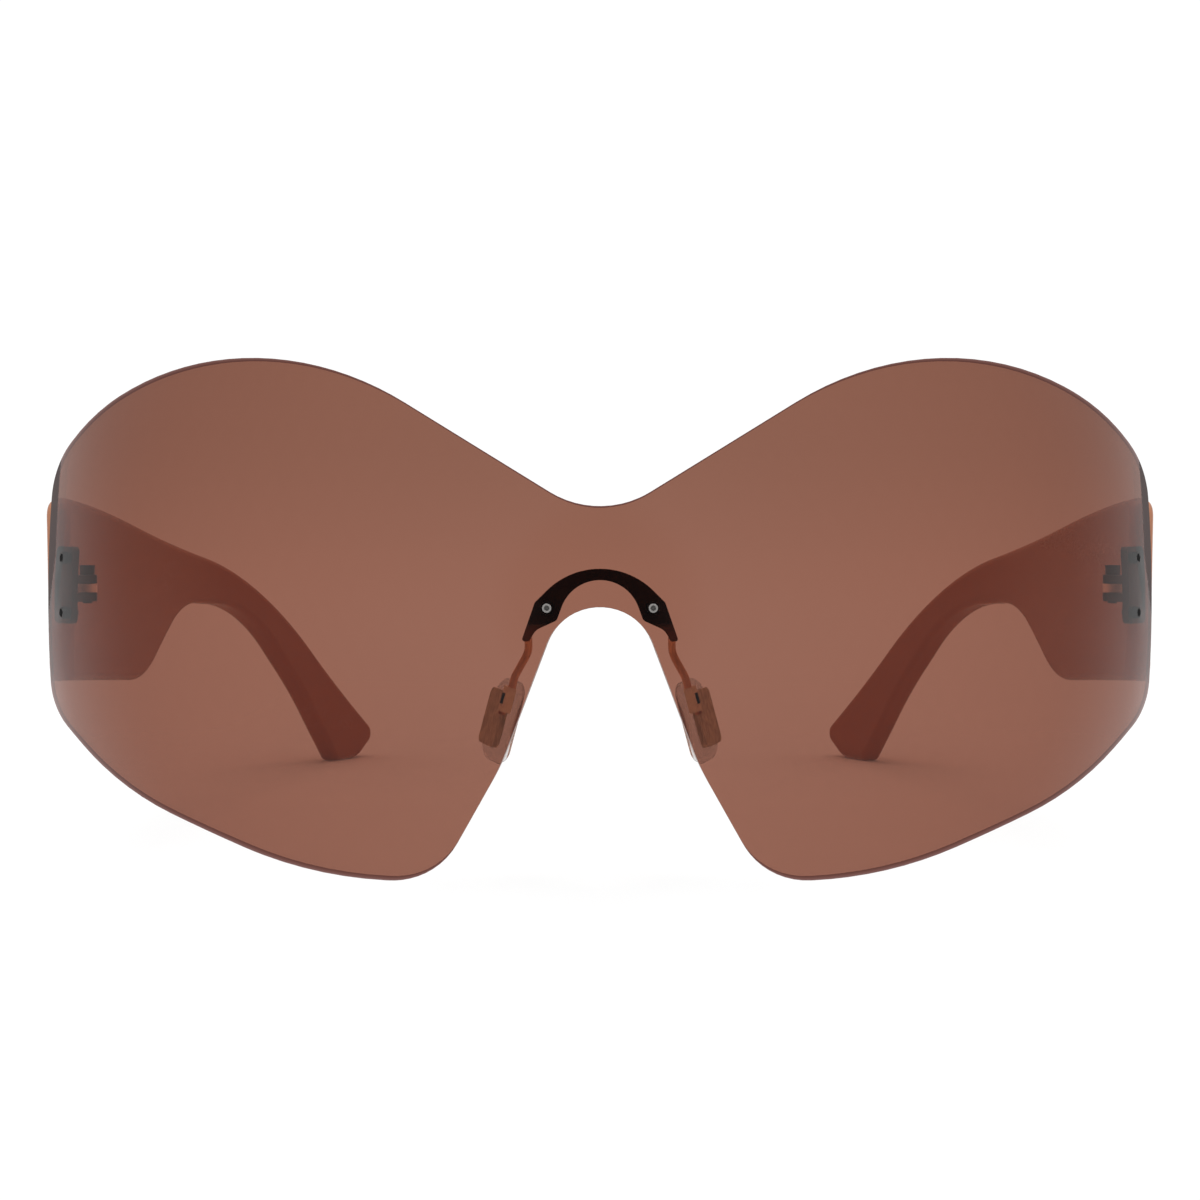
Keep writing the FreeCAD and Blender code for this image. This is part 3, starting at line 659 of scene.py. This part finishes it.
@dataclass
class NosePad:
    """One silicone pad on its core; the sizes are in metres and the turns in degrees."""

    side: Side
    centre: Place = (0.01245, APEX_Y + 0.0126, 0.02)
    splay: float = 28.0
    lean: float = 15.0
    height: float = 0.0104
    width: float = 0.0068
    thickness: float = 0.0015
    front_corner: float = 0.0014
    rear_corner: float = 0.0028
    corner_steps: int = 8
    seat_round: float = 0.00025
    seat_shares: Span = (0.3, 0.8)
    flank: tuple[Span, Span] = ((1.0, 0.55), (0.97, 0.82))
    crown: float = 0.0004
    crown_edge: float = 0.88
    crown_shares: tuple[float, float, float] = (0.7, 0.45, 0.2)
    pivot: Place = (0.0012, -0.00265, 0.0029)
    barrel_radius: float = 0.0006

    def outline(self) -> list[tuple[float, float]]:
        """Rounded outline of the pad's seat, in depth and height, with tight front and full rear corners.

        Returns:
            The points, all the way round.
        """
        half_y = self.width / 2
        half_z = self.height / 2
        points = []
        corners = ((-1, -1, self.front_corner, 180), (1, -1, self.rear_corner, 270),
                   (1, 1, self.rear_corner, 0), (-1, 1, self.front_corner, 90))
        for along, up, radius, start in corners:
            for step in range(self.corner_steps + 1):
                angle = math.radians(start + 90 * step / self.corner_steps)
                points.append((along * (half_y - radius) + radius * math.cos(angle),
                               up * (half_z - radius) + radius * math.sin(angle)))
        return points

    def sections(self) -> list[tuple[float, float]]:
        """Rings of the pad from its seat to its crown.

        Returns:
            Each ring's share of the outline and its depth below the seat.
        """
        edge = self.thickness - self.crown
        rings = [(share, 0.0) for share in (*self.seat_shares, 1.0 - 2 * self.seat_round / self.width)]
        rings.append((1.0, self.seat_round))
        rings += [(share, part * edge) for share, part in (*self.flank, (self.crown_edge, 1.0))]
        for share in self.crown_shares:
            rings.append((share, edge + self.crown * (1 - (share / self.crown_edge) ** 2)))
        return rings

    def turn(self) -> Matrix:
        """From the pad's own axes (outwards, to the rear, up) to its place on this side."""
        lean = Matrix.Rotation(math.radians(-self.lean), 4, "Y")
        splay = Matrix.Rotation(math.radians(-self.splay), 4, "Z")
        mirror = Matrix.Diagonal((self.side.value, 1, 1, 1))
        return mirror @ Matrix.Translation(self.centre) @ lean @ splay

    def mesh(self) -> bpy.types.Mesh:
        """Makes the pad's rings, joined by faces and closed at both ends.

        Returns:
            The mesh, in its place.
        """
        outline = self.outline()
        sections = self.sections()
        count = len(outline)
        points = [Vector((-depth, y * share, z * share)) for share, depth in sections for y, z in outline]
        points += [Vector((0, 0, 0)), Vector((-self.thickness, 0, 0))]
        seat_middle, crown_middle = len(points) - 2, len(points) - 1
        last = (len(sections) - 1) * count
        faces = []
        for i in range(count):
            j = (i + 1) % count
            for low in range(0, last, count):
                faces.append((low + i, low + j, low + count + j, low + count + i))
            faces.append((seat_middle, j, i))
            faces.append((crown_middle, last + i, last + j))
        if self.side is Side.LEFT:
            faces = [tuple(reversed(face)) for face in faces]
        turn = self.turn()
        mesh = bpy.data.meshes.new(self.side.node("silicone_pad"))
        mesh.from_pydata([turn @ point for point in points], [], faces)
        mesh.polygons.foreach_set("use_smooth", [True] * len(mesh.polygons))
        mesh.materials.append(SILICONE.material())
        mesh.update()
        return mesh

    def build(self) -> bpy.types.Object:
        """Makes the crowned pad that stands for its plain solid.

        Returns:
            The pad.
        """
        mesh = self.mesh()
        pad = bpy.data.objects.new(mesh.name, mesh)
        bpy.context.scene.collection.objects.link(pad)
        smooth = pad.modifiers.new("smooth", "SUBSURF")
        smooth.levels = 1
        smooth.render_levels = 1
        return pad

    def on_barrel(self, place: Vector) -> bool:
        """Whether a place on the core belongs to the pivot's barrel."""
        from_pivot = self.turn().inverted() @ place - Vector(self.pivot)
        return from_pivot.xy.length < self.barrel_radius

    def dress(self) -> None:
        """Builds the pad, seats it on its core and gives both their finishes."""
        pad = self.build()
        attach(pad, self.side.node("pad"))
        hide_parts(self.side.node("nose_pad"))
        log.info("%s: %s", pad.name, SILICONE.name)
        coat(self.side.node("pad_core"), NICKEL)
        # painted shade: the pivot's barrel is coated black so it shows as the dark slot in the pad box
        coat_faces(self.side.node("pad_core"), BLACK_COAT_AND_SHADE, self.on_barrel)


@dataclass
class Studio:
    """White table, even light with a dark side behind the camera, and the camera; in metres and degrees.

    The spans are parts of a direction: ahead is away from the camera, and down is towards the table.
    """

    floor_size: float = 6.0
    camera_place: Place = (0.0, APEX_Y - 0.3, 0.04535)
    camera_pitch: float = 1.954
    camera_clip: Span = (0.01, 50.0)
    lens: float = 75.6
    sensor: float = 36.0
    white: float = 1.05
    sky: float = 0.9
    wall: float = 0.22
    table: float = 0.28
    table_down: Span = (-0.12, 0.1)
    room: float = 0.25
    room_ahead: Span = (-0.985, -0.93)
    side_wall: float = 0.7
    side_ahead: Span = (0.1, 0.95)
    side_up: Span = (0.0, 0.35)
    side_fade: float = 0.75
    window: float = 0.2
    window_ahead: Span = (0.56, 0.7)
    window_down: Span = (-0.06, 0.04)
    metal_room: float = 0.02
    metal_wall: float = 0.9
    metal_ahead: Span = (-0.95, -0.35)
    room_colour: Colour = (1.0, 0.35, 0.25)
    softbox_power: float = 4.0
    softbox_size: Span = (0.7, 0.5)
    softbox_place: Place = (0.0, 0.1, 0.85)

    def floor(self) -> None:
        """Makes the table top."""
        half = self.floor_size / 2
        corners = [(-half, -half, 0), (half, -half, 0), (half, half, 0), (-half, half, 0)]
        mesh = bpy.data.meshes.new("studio_floor")
        mesh.from_pydata(corners, [], [(0, 1, 2, 3)])
        mesh.materials.append(FLOOR.material())
        table = bpy.data.objects.new("studio_floor", mesh)
        bpy.context.scene.collection.objects.link(table)

    def in_lens(self, shader: Shader, ahead: Value, up: Value) -> Value:
        """What the lens mirrors: wall and table, darker behind the camera, pale sides and a low window.

        Args:
            shader: the world's tree.
            ahead: part of the direction away from the camera.
            up: part of the direction away from the table.

        Returns:
            The brightness.
        """
        down = 0.0 - up
        around = shader.span(shader.ease(down, *self.table_down), self.wall, self.table)
        around = around * shader.span(shader.ease(ahead, *self.room_ahead), self.room, 1.0)
        fade = 1 - self.side_fade * shader.ease(up, *self.side_up)
        sides = shader.ease(ahead, *self.side_ahead) * fade * self.side_wall
        window = shader.ease(ahead, *self.window_ahead) * shader.ease(down, *self.window_down) * self.window
        return around + sides + window

    def surroundings(self) -> None:
        """White for what is seen, walls and a dark room for mirrors, and soft light on the pieces."""
        world = bpy.data.worlds.new("studio")
        world.use_nodes = True
        bpy.context.scene.world = world
        shader = Shader(world.node_tree)
        direction = shader.node("ShaderNodeTexCoord", output="Generated")
        ahead = shader.axis(direction, "Y")
        in_lens = self.in_lens(shader, ahead, shader.axis(direction, "Z"))
        open_side = shader.ease(ahead, *self.metal_ahead)
        in_metal = shader.span(open_side, self.metal_room, self.metal_wall)
        behind = shader.bounced("Transmission Depth")
        image = in_lens + behind * (in_metal - in_lens)
        seen, mirrored = shader.sight()
        strength = seen * self.white + mirrored * image + (1 - seen - mirrored) * self.sky
        colour = shader.mix(mirrored * behind * (1 - open_side), WHITE, self.room_colour)
        back = shader.node("ShaderNodeBackground", None, {"Color": colour, "Strength": strength})
        shader.node("ShaderNodeOutputWorld", None, {"Surface": back})

    def softbox(self) -> None:
        """Hangs one wide softbox above."""
        lamp = bpy.data.lights.new("softbox", "AREA")
        lamp.shape = "RECTANGLE"
        lamp.size, lamp.size_y = self.softbox_size
        lamp.energy = self.softbox_power
        hung = bpy.data.objects.new("softbox", lamp)
        hung.location = self.softbox_place
        bpy.context.scene.collection.objects.link(hung)

    def camera(self) -> None:
        """Sets the camera square in front, level with the notch of the brow and tipped a little down."""
        data = bpy.data.cameras.new("camera")
        data.lens = self.lens
        data.sensor_width = self.sensor
        data.clip_start, data.clip_end = self.camera_clip
        camera = bpy.data.objects.new("camera", data)
        camera.location = self.camera_place
        camera.rotation_euler = Euler((math.radians(90 - self.camera_pitch), 0, 0))
        bpy.context.scene.collection.objects.link(camera)
        bpy.context.scene.camera = camera

    def build(self) -> None:
        """Sets up the whole studio."""
        bpy.context.scene.view_settings.view_transform = "Standard"
        self.floor()
        self.surroundings()
        self.softbox()
        self.camera()


def main() -> None:
    """Builds and dresses every sub-assembly, then the studio."""
    logging.basicConfig(level=logging.INFO)
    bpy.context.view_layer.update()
    ShieldFront().dress()
    for side in Side:
        Temple(side).dress()
        NosePad(side).dress()
    Studio().build()


if __name__ == "__main__":
    main()
